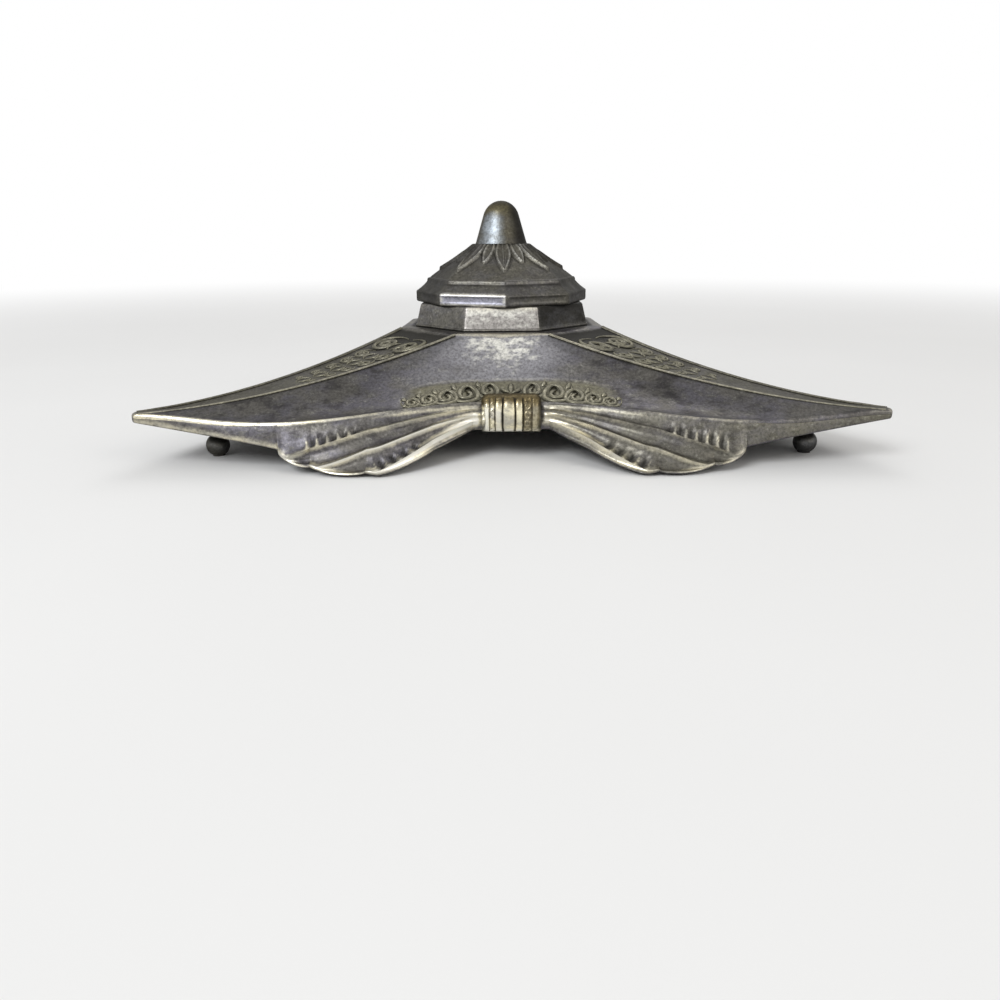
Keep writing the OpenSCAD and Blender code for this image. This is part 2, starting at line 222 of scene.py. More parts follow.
ridge_ends, ridge_roots, ridge_bends = fan_marks[:0:-1], (0.22, 0.44, 0.65), (4.0, 2.8, 1.2)
ridge_gaps, ridge_half_w = (5, 3, 1), (0.66, 0.74, 1.3)
ridge_rise, ridge_shine = (0.36, 0.4, 0.54), (1.0, 1.5, 1.9)
# Marks on the points: wear with painted highlight, dirt with painted shade, the olive ground, and silvery
# wear with painted highlight
mark_names = ("wear_and_highlight", "dirt_and_shade", "ground", "silvering_and_highlight")


def ease(t):
    """Smooth step: 3t^2 - 2t^3 between 0 and 1."""
    t = np.clip(t, 0, 1)
    return t * t * (3 - 2 * t)


def between(a, b, t):
    """a plus t times the way to b."""
    return a + (b - a) * t


def hump(distance, half_width):
    """Bell of height 1: exp(-(distance / half width)^2)."""
    return np.exp(-(distance / half_width) ** 2)


def unit(vectors):
    """Vectors divided by their lengths."""
    return vectors / np.linalg.norm(vectors, axis=-1, keepdims=True)


def along(x):
    """Share of the way from the fan's root, near the clasp, to the arm's tip."""
    return np.maximum(abs(x) - fan_root, 0) / (tip_x - fan_root)


def edge_depth(x):
    """Upper edge in plan: eases from its depth at the clasp to the tip's, plus a sine bow."""
    return (between(edge_mid, tip_depth, ease(along(x) / edge_settle))
            + edge_bow * np.sin(np.pi * along(x)))


def edge_height(x):
    """Upper edge: eases down to its lowest at edge_low_at of the way, then up to the tip."""
    t = along(x)
    return np.where(t < edge_low_at, between(edge_mid_h, edge_low_h, ease(t / edge_low_at)),
                    between(edge_low_h, edge_tip_h, ease((t - edge_low_at) / (1 - edge_low_at))))


def swell(x):
    """Half sine to the power 0.7 across each of the fan's three lobes."""
    total = np.zeros_like(x)
    for low, high in zip(fan_marks, fan_marks[1:]):
        s = np.clip((x - low) / (high - low), 0, 1)
        total += np.sin(np.pi * s) ** 0.7
    return total


def low_edge(x):
    """Lower edge of a side as depth and height: power curves of arch, fan with its lobes, and arm."""
    a = abs(x)
    arch = 1 - np.clip((a - arch_half_w) / (fan_low_x - arch_half_w), 0, 1)
    fan = np.clip((a - fan_low_x) / (fan_end - fan_low_x), 0, 1)
    arm = np.clip((a - fan_end) / (tip_x - fan_end), 0, 1)
    in_arch, on_arm = a <= fan_low_x, a > fan_end
    depth = np.where(in_arch, between(edge_mid, fan_foot, 1 - arch ** 1.25),
                     between(fan_foot, fan_low_depth, fan ** 2.2)) + lobe_out * swell(a)
    height = np.where(in_arch, between(arch_h, fan_lift, 1 - arch ** 1.2),
                      fan_lift + fan_rise * fan ** 3) - lobe_drop * swell(a)
    return (np.where(on_arm, edge_depth(x) + arm_under_out * (1 - arm), depth),
            np.where(on_arm, between(arm_root_h, tip_under_h, arm ** 0.85), height))


def in_place(k, x, depth, z):
    """Point of side k, turned by k times 120 degrees round the middle."""
    a = 2 * np.pi / 3 * k
    x, depth, z = np.broadcast_arrays(x, depth, z)
    return np.stack([x * np.cos(a) + depth * np.sin(a), x * np.sin(a) - depth * np.cos(a), z], -1)


def side_plan(p, turn):
    """In plan, how far points lie along a side turned by turn radians, and how far out."""
    return (p[..., 0] * np.cos(turn) + p[..., 1] * np.sin(turn),
            p[..., 0] * np.sin(turn) - p[..., 1] * np.cos(turn))


def octagon(apothem, degrees, z, roundness=0.0, sharp=90):
    """Octagon round the neck's axis. Its radius is the apothem over the sum of the eight faces'
    cosines to a high power, which rounds the corners a little, or the apothem where it is round."""
    apothem, degrees, z, roundness = np.broadcast_arrays(
        *(np.asarray(v, float) for v in (apothem, degrees, z, roundness)))
    a = np.radians(degrees)
    faces = np.clip(np.cos(a[..., None] - np.arange(8) * np.pi / 4), 0, 1) ** sharp
    radius = apothem * between(faces.sum(-1) ** (-1 / sharp), 1.0, roundness)
    return np.stack([neck_x + radius * np.sin(a), -radius * np.cos(a), z], -1)


def collar_degrees(k, v):
    """Part of the collar that side k grows from: one face in front, two faces behind."""
    return (22.5 * v, 67.5 + 45 * (v + 1), -67.5 - 45 * (1 - v))[k]


def top_line(collar, edge, u):
    """Straight in plan, and in height a power curve that runs out level at the edge."""
    p = between(collar, edge, u)
    p[..., 2] = between(edge[..., 2], collar[..., 2], np.clip(1 - u[..., 0], 0, 1) ** top_hollow)
    return p


def strip_sink(s, from_end):
    """Depth of an arm's strip: strip_depth * sin(pi s)^0.5 across it, from 2 to 10 mm off its end."""
    return strip_depth * np.sin(np.pi * np.clip(s, 0, 1)) ** 0.5 * ease((from_end - 2) / 8)


def new_piece(name, points, faces, finish, body, marks, nodes=(), crease=38):
    """Mesh object in metres from points in mm and arrays of faces, smooth but for creases, with
    named point values. The sum of the faces' cones to the origin gives the volume, and where it is
    negative the faces are turned round."""
    points = np.asarray(points, float).reshape(-1, 3) * mm
    volume = sum(np.einsum("ij,ij->", points[f[:, 0]], np.cross(points[f[:, n]], points[f[:, n + 1]]))
                 for f in faces for n in range(1, f.shape[1] - 1))
    if volume < 0:
        faces = [f[:, ::-1] for f in faces]
    mesh = bpy.data.meshes.new(name)
    mesh.from_pydata(points.tolist(), [], [face for f in faces for face in f.tolist()])
    for mark, values in marks.items():
        point_values = np.empty(len(points), np.float32)
        point_values[:] = np.ravel(values)
        mesh.attributes.new(mark, "FLOAT", "POINT").data.foreach_set("value", point_values)
    mesh.shade_smooth()
    mesh.set_sharp_from_angle(angle=math.radians(crease))
    mesh.materials.append(finish)
    piece = bpy.data.objects.new(name, mesh)
    bpy.context.collection.objects.link(piece)
    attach(piece, body)
    if nodes:
        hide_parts(*nodes)
    return piece


def net(columns, rows, round_columns=True, round_rows=True):
    """Four-sided faces of a grid of points, closed round in either direction."""
    i, j = np.meshgrid(np.arange(columns if round_columns else columns - 1),
                       np.arange(rows if round_rows else rows - 1), indexing="ij")
    a, b = i, (i + 1) % columns
    c, d = j, (j + 1) % rows
    return np.stack([a * rows + c, b * rows + c, b * rows + d, a * rows + d], -1).reshape(-1, 4)


def bronze(name, smooth=(0.144, 0.136, 0.124), cool=(0.134, 0.128, 0.143), olive=(0.225, 0.212, 0.148),
           bright=(0.68, 0.63, 0.48), silvery_highlight=(0.285, 0.28, 0.295), gloss=0.4, mottle=1.2):
    """Old bronze: grey-brown with cool, dark and pale clouds drawn out level, olive in the ground of
    the ornament, and black where the mark for dirt and shade is high: dirt in the hollows and
    painted shade on faces turned from the light. It is silvery with cream patches, worn silvering
    and painted highlight, where the mark for silvery wear and highlight is high, and rubbed bright,
    in broken patches, where the mark for wear and highlight is high: almost white above 1, a painted
    highlight."""
    cream_highlight, dull, speck = (0.76, 0.745, 0.68), (0.5, 0.475, 0.4), (0.36, 0.35, 0.32)
    pale, dark, pit = (0.185, 0.178, 0.16), (0.052, 0.048, 0.052), (0.03, 0.028, 0.027)
    finish, wire = new_finish(name)
    wear_and_highlight, dirt_and_shade, ground, silvering_and_highlight = (wire.add("ShaderNodeAttribute", {"attribute_name": mark}, out="Fac")
                                 for mark in mark_names)
    level = wire.add("ShaderNodeVectorMath", {"operation": "MULTIPLY"}, {0: wire.place(), 1: (1, 1, 2.2)})
    broad, patch = wire.clouds(85, 4, 0.6, level), wire.clouds(180, 4, 0.65, level)
    middle, fine = wire.clouds(420, 5, 0.65, level), wire.clouds(1600, 3, 0.7)
    skin = wire.tint(broad.step(0.4, 0.62), smooth, cool)
    skin = wire.tint(patch.step(0.5, 0.64) * (0.55 * mottle), skin, dark)
    skin = wire.tint(middle.step(0.5, 0.7) * (0.6 * mottle), skin, pale)
    skin = wire.tint(ground * (0.35 + 0.9 * middle), skin, olive)
    # Silver and cream patches where the mark for silvery wear and highlight is high: worn silvering and
    # painted highlight
    skin = wire.tint((silvering_and_highlight * (0.35 + 1.3 * patch)).step(0.2, 0.85), skin, silvery_highlight)
    skin = wire.tint((silvering_and_highlight * (patch * 0.6 + middle * 1.25)).step(0.8, 1.16) * 0.9, skin, cream_highlight)
    skin = wire.tint((middle * 0.4 + fine * 0.6).step(0.56, 0.68) * (0.4 * mottle), skin, speck)
    skin = wire.tint(fine.step(0.62, 0.3) * 0.5, skin, pit)
    # Rubbed bright where the mark for wear and highlight is high, and almost white above 1: a painted
    # highlight
    rub = (wear_and_highlight * (0.3 + 1.0 * middle) + (fine - 0.5) * 0.8 * wear_and_highlight).step(0.15, 0.92)
    rubbed = wire.tint(patch.step(0.4, 0.62), bright, dull)
    gleam = wire.tint(wear_and_highlight.step(0.95, 1.45), rubbed, [part ** 0.42 for part in bright])
    skin = wire.tint(rub, skin, gleam)
    # Near black where the mark for dirt and shade is high: dirt in the hollows and painted shade
    grime_and_shade = (dirt_and_shade * (0.35 + 0.6 * middle + 0.7 * patch)).step(0.25, 0.95) * 0.92
    skin = wire.tint(grime_and_shade, skin, (0.012, 0.011, 0.009))
    wire.surface({
        "Base Color": skin, "Specular IOR Level": 0.25, "Specular Tint": (0.5, 0.5, 0.5, 1),
        "Metallic": 0.92 - grime_and_shade * 0.6,
        "Roughness": gloss + 0.12 * (middle - 0.5) - 0.1 * rub + 0.3 * grime_and_shade,
        "Normal": wire.bump(0.5, 0.00012, middle * 0.6 + fine * 0.4)})
    return finish


# Columns of points from the middle of a side to its tip. They are closest on the fan's outer slots.
column_runs = ((fan_root, 17, 0.55), (17, 33, 0.42), (33, 45.5, 0.3), (45.5, 49.4, 0.42))
arm_first_x, strip_points = 50.3, 17
half = np.unique(np.round(np.concatenate(
    [np.linspace(0, fan_root, 8), fan_marks, (arch_half_w, 49.9)]
    + [np.arange(*run) for run in column_runs]
    + [tip_x - (tip_x - arm_first_x) * np.linspace(1, 0, 28) ** 1.15]), 3))
side_x = np.concatenate([-half[:0:-1], half])
strip_s = np.linspace(0, 1, strip_points)[1:-1]
side_n, strip_n = len(side_x), len(strip_s)


def frame_points(k):
    """Corner points of the sections of side k and of the arm's strip behind it: collar, upper edge,
    lower edge, the inner wall's two ends and the inner collar, with the outward direction."""
    x, x_in, v = side_x, side_x * inner_share, side_x / tip_x
    low_d, low_h = low_edge(x)
    near_tip = between(1, 2, np.clip((abs(v) - 0.9) * 10, 0, 1))
    angle = collar_degrees(k, v)
    return [octagon(collar_half, angle, collar_h), in_place(k, x, edge_depth(x), edge_height(x)),
            in_place(k, x, low_d, low_h), in_place(k, x_in, low_d - 1.1 * wall, low_h + 0.25),
            in_place(k, x_in, edge_depth(x) - 1.1 * wall * near_tip,
                     np.maximum(edge_height(x) - wall, low_h + 0.6)),
            octagon(collar_half - 0.8 * wall, angle, collar_under),
            np.broadcast_to(in_place(k, 0.0, 1.0, 0.0), (side_n, 3))]


def whole_loop():
    """The sections of all three sides and strips in one loop. In a strip each line of corner points
    runs on to the next side, and its outer points bulge by a half circle to round the tip."""
    sides = [frame_points(k) for k in range(3)]
    loop = [[] for _ in sides[0]]
    for k in range(3):
        start = collar_degrees(k, 1.0)
        axis = in_place(k, math.sin(math.radians(60)), math.cos(math.radians(60)), 0.0)
        for n, line in enumerate(sides[k]):
            a, b = line[-1], sides[(k + 1) % 3][n][0]
            if n in (0, 5):
                part = octagon(collar_half if n == 0 else collar_half - 0.8 * wall,
                               start + 45 * strip_s, a[2])
            elif n == 6:
                part = np.broadcast_to(axis, (strip_n, 3))
            else:
                nose = np.sqrt(np.maximum(1 - (2 * strip_s - 1) ** 2, 0))[:, None]
                part = between(a, b, strip_s[:, None]) + axis * nose * (0.0, 0.25, 0.25, 0, 0)[n]
            loop[n] += [line, part]
    return [np.concatenate(parts) for parts in loop]


collar, edge, low, low_in, edge_in, collar_in, outward = whole_loop()
# Every column's place along its side, with off_side for those of the strips between the sides
off_side = 99.0
column_x = np.tile(np.concatenate([side_x, np.full(strip_n, off_side)]), 3)
aside = abs(column_x)
on_side = (aside < off_side).astype(float)
on_right = column_x > 0
strip_share = np.tile(np.concatenate([np.zeros(side_n), strip_s]), 3)
side_turn = np.repeat(2 * np.pi / 3 * np.arange(3), side_n + strip_n)
rear = (side_turn > 0) * on_side
drop = low - edge
drop_len = np.linalg.norm(drop, axis=1)
fall = drop / drop_len[:, None]
lean_cos = -drop[:, 2] / drop_len
lean_sin = np.sqrt(np.maximum(1 - lean_cos ** 2, 0))
face_out = outward * lean_cos[:, None] + np.array([0, 0, 1.0]) * lean_sin[:, None]
top_len = np.linalg.norm((edge - collar)[:, :2], axis=1)
edge_round = between(0.45, 1.1, ease((aside - 44) / 20))
bore = octagon(bore_r, np.degrees(np.arctan2(collar[:, 0] - neck_x, -collar[:, 1])), collar_h)
# Real rubbing and painted light from the left: wear and highlight are strongest on the left of each side,
# weaker towards the right tip, and half as strong on the strips
left_rub_and_light = between(1.0, 0.55, ease((column_x + 12) / 24)) - 0.3 * ease((column_x - 46) / 10)
handled_and_lit = left_rub_and_light * on_side + 0.5 * (1 - on_side)
rows, marks = [], []


def put(points, wear_and_highlight=0.0, dirt_and_shade=0.0, ground=0.0, silvering_and_highlight=0.0):
    """Add one row of points round the whole stand, with its marks."""
    rows.append(points)
    marks.append(np.stack([np.broadcast_to(mark, aside.shape) for mark in (wear_and_highlight, dirt_and_shade, ground, silvering_and_highlight)], -1))


def corner(point, before, after, t):
    """Rounded corner: point + (1-t)^2 times the way back plus t^2 times the way on."""
    return point + (1 - t) ** 2 * before + t ** 2 * after


# The ledge inside the collar, from the bore up and out, and the collar's rounded corner
ledge_out = collar - bore
put(bore * [1, 1, 0] + [0, 0, collar_under], dirt_and_shade=1)
put(bore, dirt_and_shade=0.6)
put(bore + ledge_out * 0.58, dirt_and_shade=0.9)
put(bore + ledge_out * 0.76, dirt_and_shade=0.25, wear_and_highlight=0.35)
slope = unit(top_line(collar, edge, np.full((len(aside), 1), 0.04)) - collar)
# The collar's corner: painted highlight on the sides' faces, less on the rear sides, whose corners get
# painted shade
for t in np.linspace(0, 1, 5):
    put(corner(collar, -unit(ledge_out) * 0.7, slope * 0.8, t) - [0, 0, 0.05],
        wear_and_highlight=between(0.3, 0.75, on_side) * (1 - 0.5 * rear), silvering_and_highlight=0.6 * on_side * (1 - 0.6 * rear),
        dirt_and_shade=0.25 * (1 - on_side) + 0.4 * rear)

# The top of each side, with its sunk band for the scrolls, and the sunk strips of the arms
scroll_x = np.array([5.0, 9.9, 14.4, 18.4, 21.9])
scroll_depth = np.array([36.9, 38.3, 39.7, 40.8, 41.9])
scroll_r = np.array([2.1, 2.6, 2.35, 1.95, 1.6])
band_half_w, band_sink, band_start, top_rows = 26.0, 0.16, 33.9, 41
rub_width = between(0.45, 1.5, ease((aside - 48) / 24))
u_first = 0.8 / top_len
u_last = 1 - edge_round / top_len
for t in np.linspace(0, 1, top_rows)[1:]:
    u = between(u_first, u_last, t ** 1.15)
    p = top_line(collar, edge, u[:, None])
    from_edge, from_collar = (1 - u) * top_len, u * top_len
    local, depth = side_plan(p, side_turn)
    off_mid = abs(local)
    from_band = depth - (band_start + 0.0065 * np.clip(local, -band_half_w, band_half_w) ** 2)
    sunk = ease(from_band / 0.8) * ease((band_half_w - off_mid) / 2.5) * on_side
    ground = sunk * ease((band_half_w - 0.5 - off_mid) / 6)
    from_scrolls = np.hypot(off_mid[:, None] - scroll_x, depth[:, None] - scroll_depth)
    in_scroll = ease((scroll_r * 0.95 - from_scrolls) / 0.5).max(1)
    p[:, 2] -= band_sink * sunk + strip_sink(strip_share, from_edge)
    edge_rub_and_light = handled_and_lit * hump(from_edge, rub_width) * ease((aside - 22) / 20)
    line_rub = 0.3 * hump(from_collar, 1.2) + 0.45 * hump(from_band, 0.45) * ease((25.0 - off_mid) / 3)
    strip_dirt = 0.7 * hump(from_collar, 6.0) + 0.56
    side_dirt = 0.55 * ease((aside - 42) / 20) + 0.26 * hump(off_mid - 31, 5.5) * hump(depth - 39.5, 2.5)
    edge_dirt = 0.55 * hump(from_edge - 0.7, 0.35) * ease((34 - aside) / 10)
    # A silvery patch with cream in the middle of each side's top, fading down the side: worn silvering and
    # painted highlight
    cream_highlight = hump(local + 2.0, 17.0) * between(1.16, 0.8, ease((depth - 27.0) / 6.5))
    put(p, wear_and_highlight=edge_rub_and_light + line_rub * on_side,
        dirt_and_shade=(1 - on_side) * strip_dirt + (0.15 * in_scroll + side_dirt + edge_dirt) * on_side,
        ground=ground + (1 - on_side) * 0.45,
        silvering_and_highlight=(1 - ground) * on_side * np.maximum(cream_highlight, 0.64 * hump(local + 5.0, 27.0)))
toward = (collar - edge) * [1, 1, 0] / top_len[:, None]
for t in np.linspace(0, 1, 6)[1:]:
    put(corner(edge, toward * edge_round[:, None], fall * edge_round[:, None] * 0.8, t),
        wear_and_highlight=handled_and_lit * between(0.35, 1.0, ease((aside - 20) / 20)))


def ridge_line(root, end, bend, gap):
    """A ridge's share of the way down the side: a power curve from its root to the lower edge."""
    way = np.clip((aside - fan_root) / (end - fan_root), 0, 1)
    return np.minimum(between(root, 1, way ** bend), 1 - 0.025 * gap)


# The fans: four hollow panels between ridges. Two have a row of notched slots, given by its first
# slot, pitch, count, lean, start down the panel and darkness.
slot_rows = {0: (33.4, 2.2, 5 + on_right, 1.0, 0.42 - 0.14 * on_right, 0.78),
             2: (20.3, 2.3, 4, 2.6, 0.22, 0.9)}
panel_hollows, panel_rows = (0.45, 0.8, 0.75, 0.3), 10
ridges = [ridge_line(*sizes) for sizes in zip(ridge_roots, ridge_ends, ridge_bends, ridge_gaps)]
w_start, w_end = edge_round * 0.8 / drop_len, 1 - 0.45 / drop_len
lines = [w_start] + [np.clip(line, w_start + 0.01, w_end - 0.01) for line in ridges] + [w_end]
arm_share = ease((aside - fan_end) / 0.6)
flute = ease((aside - fan_root + 1) / 4) * ease((fan_end - aside) / 5)
rooted = ease((aside - fan_root + 0.8) / 1.4)
lobe_share = (np.where(aside < fan_marks[2], aside - fan_marks[1], (aside - fan_marks[2]) * 1.7)
              / (fan_marks[2] - fan_marks[1]))
crescent = np.where(aside < fan_marks[1], 1.0, ease(1.6 * lobe_share))
# The lower lips: rubbed bright, and made almost white by painted highlight, most on the left
lip_rub_and_highlight = (1.5 * ease((aside - 13.5) / 8) * (1 - arm_share) * between(1.0, handled_and_lit, 0.7)
           + np.maximum(1.7 * handled_and_lit - 0.8, 0) * arm_share)
side_olive = (0.32 * ease((column_x - 6) / 6) + 0.2 * ease((column_x - 38) / 16)) * on_side
for q in range(4 * panel_rows):
    i, s = q // panel_rows, (q % panel_rows + 1) / panel_rows
    w = between(between(lines[i], lines[i + 1], s),
                between(w_start, w_end, (q + 1) / (4 * panel_rows)), arm_share)
    width = (lines[i + 1] - lines[i]) * drop_len
    bow = 4 * s * (1 - s)
    out = -np.minimum(panel_hollows[i], 0.24 * width) * bow ** 0.75 * flute
    wear_and_highlight = np.zeros_like(aside)
    for line, end, half_w, rise, shine in zip(ridges, ridge_ends, ridge_half_w, ridge_rise, ridge_shine):
        near = hump((w - line) * drop_len, half_w) * (ease((end + 0.4 - aside) / 1.2) * rooted * on_side)
        out = out + rise * near
        wear_and_highlight = np.maximum(wear_and_highlight, shine * near * between(1.0, handled_and_lit, 0.9))
    top_ridge = hump(w * drop_len - 1.0, 0.55) * rooted * ease((36 - aside) / 12) * on_side
    out = out + 0.22 * top_ridge
    wear_and_highlight = np.maximum(wear_and_highlight, 0.8 * top_ridge * between(1.0, handled_and_lit, 0.6))
    if i == 1:
        fine_line = hump((s - 0.45) * width, 0.25) * flute * on_side
        out = out + 0.14 * fine_line
        wear_and_highlight = np.maximum(wear_and_highlight, 0.4 * fine_line)
    lip = hump((1 - w) * drop_len, between(0.75, 1.5, crescent)) * between(0.5, 1.1, crescent) * on_side
    wear_and_highlight = np.maximum(wear_and_highlight, lip * lip_rub_and_highlight)
    dirt_and_shade = 0.4 * bow * flute
    if i == 0:
        dirt_and_shade = np.maximum(dirt_and_shade, 0.52 * hump(aside - 46.0, 3.4) * ease(s / 0.4) * on_side)
    if i in slot_rows:
        first, pitch, count, lean_by, start_s, dark = slot_rows[i]
        phase = (aside - first + lean_by * (s - 0.75)) / pitch
        from_slot = abs(phase - np.round(phase))
        in_row = ease((phase + 0.3) / 0.3) * ease((count - 0.2 - phase) / 0.3)
        window = ease((s - start_s) / 0.3) * ease((0.99 - s) / 0.06) * in_row * on_side
        slot_here = hump(from_slot, 0.37 - 0.17 * s) * window
        bar_here = hump(from_slot - 0.5, 0.1 + 0.1 * s) * window
        out = out - 0.45 * slot_here + 0.2 * bar_here
        dirt_and_shade = np.maximum(dirt_and_shade, dark * slot_here)
        wear_and_highlight = np.maximum(wear_and_highlight * (1 - slot_here), 1.05 * bar_here * s)
    out = out + 0.25 * np.sin(np.pi * w) * arm_share * on_side
    put(edge + drop * w[:, None] + face_out * out[:, None], wear_and_highlight=wear_and_highlight, dirt_and_shade=dirt_and_shade, ground=side_olive)

# The lower edge, and the dirty hollow inside
back_in = unit(low_in - low)
for t in np.linspace(0, 1, 5)[1:]:
    put(corner(low, -fall * 0.45, back_in * 0.45, t),
        wear_and_highlight=between(0.9, 0.0, t) * handled_and_lit * on_side, dirt_and_shade=0.5 * t)
put(low_in, dirt_and_shade=0.6)
put(edge_in, dirt_and_shade=0.62)
for t in np.linspace(0, 1, 6)[1:]:
    put(top_line(collar_in, edge_in, np.full((len(aside), 1), (1 - t) ** 1.2)), dirt_and_shade=0.58)
stand_points = np.stack(rows, 1)
stand_marks = np.stack(marks, 1).reshape(-1, 4).T
stand_bronze = bronze("stand_bronze")
new_piece("stand_casting", stand_points, [net(*stand_points.shape[:2])], stand_bronze, "stand",
          dict(zip(mark_names, stand_marks)), ["body_shell"])

# Raised borders of the arms
# A half-round border is cast along both ridges of each arm, from the collar's corners to the tip.
# Hands and cloths rub it, and the two of the front side most.
def carry(paths, half_w, height, sides, skirt):
    """Half-round bars along paths: the section's points are side * half_w * cos t + up * height * sin t
    for t from 0 to pi, with a thin skirt on either side that draws the bar's outline, closed below
    by two points sunk 0.3 mm into what carries the bar."""
    step = unit(np.gradient(paths, axis=1))
    side = unit(np.cross(step, [0, 0, 1.0]))
    up = np.cross(side, step)
    t = np.linspace(0, np.pi, sides)
    out = np.concatenate([[skirt], np.cos(t), [-skirt, -0.8, 0.8]])
    rise = np.concatenate([[0], np.sin(t), [0, 0, 0]])
    low = np.concatenate([[0.0], np.full(sides, -0.05), [0.0, 0.3, 0.3]])
    points = (paths[:, :, None] + side[:, :, None] * (half_w[..., None] * out)[..., None]
              + up[:, :, None] * (height[..., None] * rise - low)[..., None])
    bars, length, around = points.shape[:3]
    start = (np.arange(bars) * length * around)[:, None, None]
    quads = (net(length, around, round_columns=False)[None] + start).reshape(-1, 4)
    caps = (np.arange(around)[None, None] + start).reshape(-1, around)
    far = caps[:, ::-1] + (length - 1) * around
    return points, [quads, caps, far], np.broadcast_to(rise, points.shape[:3])


border_w, border_h, border_skirt = 0.62, 0.3, 1.3
way = np.linspace(0.012, 0.985, 110)[None] * np.ones((6, 1))
ends = [(k, end) for k in range(3) for end in (-1.0, 1.0)]
starts = np.array([octagon(collar_half, collar_degrees(k, end), collar_h) for k, end in ends])
tips = np.array([in_place(k, end * tip_x, tip_depth, edge_tip_h) for k, end in ends])
taper = between(1.0, 0.45, way)
points, faces, rise = carry(top_line(starts[:, None], tips[:, None], way[..., None]),
                            border_w * taper, border_h * taper, 9, border_skirt)
rub = np.array([1, 1, 0.4, 0.4, 0.4, 0.4])[:, None, None]
new_piece("arm_borders", points, faces, stand_bronze, "stand",
          {"wear_and_highlight": (0.3 + 0.3 * rise) * rub, "ground": 0.8,
           "dirt_and_shade": np.maximum(0.45 * (rise <= 0), 0.5 * (rub < 1))})

# Scroll bands
# A band of running scrolls, with buds between them and a small palmette in the middle, lies on the
# top of each side, over the clasp. It is part of the casting, with an olive ground.
side_names = ("front", "rear_right", "rear_left")
line_n, scroll_line, leaf_start_w, leaf_w, palmette_depth = 72, 0.25, 0.05, 0.52, 37.9
t = np.linspace(-0.34, 1, line_n)
bend = np.linspace(0, 1, line_n)


def on_top(k, across, depth):
    """Point of the top of side k over a place in plan. The section line through that place comes
    from repeated correction: u is the share of the way out in depth, and x the line that meets it."""
    x = across
    for _ in range(14):
        c = octagon(collar_half, collar_degrees(k, x / tip_x), collar_h)
        c_across, c_depth = side_plan(c, 2 * np.pi / 3 * k)
        u = np.clip((depth - c_depth) / (edge_depth(x) - c_depth), 0.05, 1)
        x = np.clip((across - (1 - u) * c_across) / u, -tip_x, tip_x)
    return top_line(c, in_place(k, x, edge_depth(x), edge_height(x)), u[..., None]) - [0, 0, band_sink]


def scroll(radii, turns, start, flare):
    """Angles and radii of scrolls: r * (1 - 0.84 t) winding in from t = 0 to 1, and r * (1 + flare t^2)
    along the stem, below 0."""
    return (2 * np.pi * turns * t + start,
            radii[:, None] * np.where(t < 0, 1 + flare * t ** 2, 1 - 0.84 * t))


first_turn = np.array([2.6, 2.7, 2.8, 2.9, 3.0])[:, None]
angle, radius = scroll(scroll_r, np.where(t < 0, 1.55, 1.34), first_turn, 5.5)
spiral_x = scroll_x[:, None] + radius * np.cos(angle)
spiral_depth = scroll_depth[:, None] + 1.15 * radius * np.sin(angle)
buds_across, buds_out = ((0.68, 0.5), (0.98, 0.34)), ((0.64, 0.45), (-0.42, -0.64))
bud_x, bud_depth = (np.concatenate([middles[:, None] + (start + length * bend) * scroll_r[:, None]
                                    for start, length in buds])
                    for middles, buds in ((scroll_x, buds_across), (scroll_depth, buds_out)))
ray = np.radians([-54, 0, 54])[:, None]
ray_reach = 0.35 + (2.1 + 0.7 * np.cos(ray)) * bend
plans_x = np.concatenate([spiral_x, -spiral_x, bud_x, -bud_x, ray_reach * np.sin(ray)])
plans_depth = np.concatenate([spiral_depth, spiral_depth, bud_depth, bud_depth,
                              palmette_depth - ray_reach * np.cos(ray)])
ending = 1 + 0.25 * hump(t - 1, 0.07) - 0.75 * ease((-0.12 - t) / 0.22)
spiral_w = scroll_line * ending * scroll_r[:, None]
leaves_w = np.tile(leaf_start_w + leaf_w * np.sin(np.pi * bend) ** 0.8, (len(plans_x) - 2 * len(scroll_x), 1))
line_w = np.concatenate([spiral_w, spiral_w, leaves_w])
for k, name in enumerate(side_names):
    points, faces, rise = carry(on_top(k, plans_x, plans_depth), line_w, 0.58 * line_w, 7, 1.55)
    new_piece("scroll_band_" + name, points, faces, stand_bronze, "stand",
              {"wear_and_highlight": 0.46 * rise, "dirt_and_shade": 0.6 * (rise <= 0.3), "ground": 1})

# Scrolls on the arms
# Each arm's sunk strip carries a pair of large scrolls by the collar and a row of smaller ones
# that run out towards the tip. They are part of the casting.
strip_start_w, strip_end_w, curl_line = 19.1, 2.4, 0.22
curl_u = np.array([0.125, 0.215, 0.275, 0.335, 0.395, 0.455])[:, None]
curl_s = np.array([0.27, 0.25, 0.26, 0.27, 0.28, 0.3])[:, None]
curl_r = np.array([2.8, 1.65, 1.45, 1.2, 1.0, 0.8])


def on_strip(arm, s, u):
    """Point of an arm's strip: s runs across it and u from the collar to the tip."""
    c = octagon(collar_half, collar_degrees(arm, 1.0) + 45 * s, collar_h)
    tips = between(in_place(arm, tip_x, tip_depth, edge_tip_h),
                   in_place((arm + 1) % 3, -tip_x, tip_depth, edge_tip_h), s[..., None])
    p = top_line(c, tips, u[..., None])
    p[..., 2] -= strip_sink(s, (1 - u) * strip_len)
    return p


